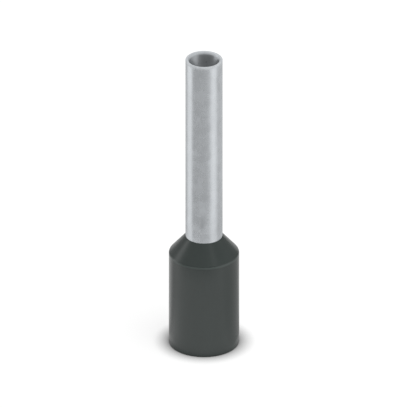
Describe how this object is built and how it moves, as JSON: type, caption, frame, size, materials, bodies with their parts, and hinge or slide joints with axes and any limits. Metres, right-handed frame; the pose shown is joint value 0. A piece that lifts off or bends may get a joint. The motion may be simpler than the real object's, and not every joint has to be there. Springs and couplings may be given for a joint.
{
  "type": "wire ferrule",
  "caption": "Insulated wire-end ferrule for 1.5 mm2 stranded wire: a tin-plated tube, flared inside a black conical-shouldered plastic collar.",
  "frame": {"origin": "centre of the collar's mouth, on the flat ring that the ferrule stands on", "axes": "+Z along the axis from the wire's side to the sleeve's free end; X and Y are square to it"},
  "size_m": [0.004, 0.004, 0.018],
  "materials": {
    "tinned_copper": "satin",
    "moulded_plastic": "satin"
  },
  "bodies": {
    "root": {"metal_sleeve": "tinned_copper", "insulating_collar": "moulded_plastic"}
  },
  "joints": []
}
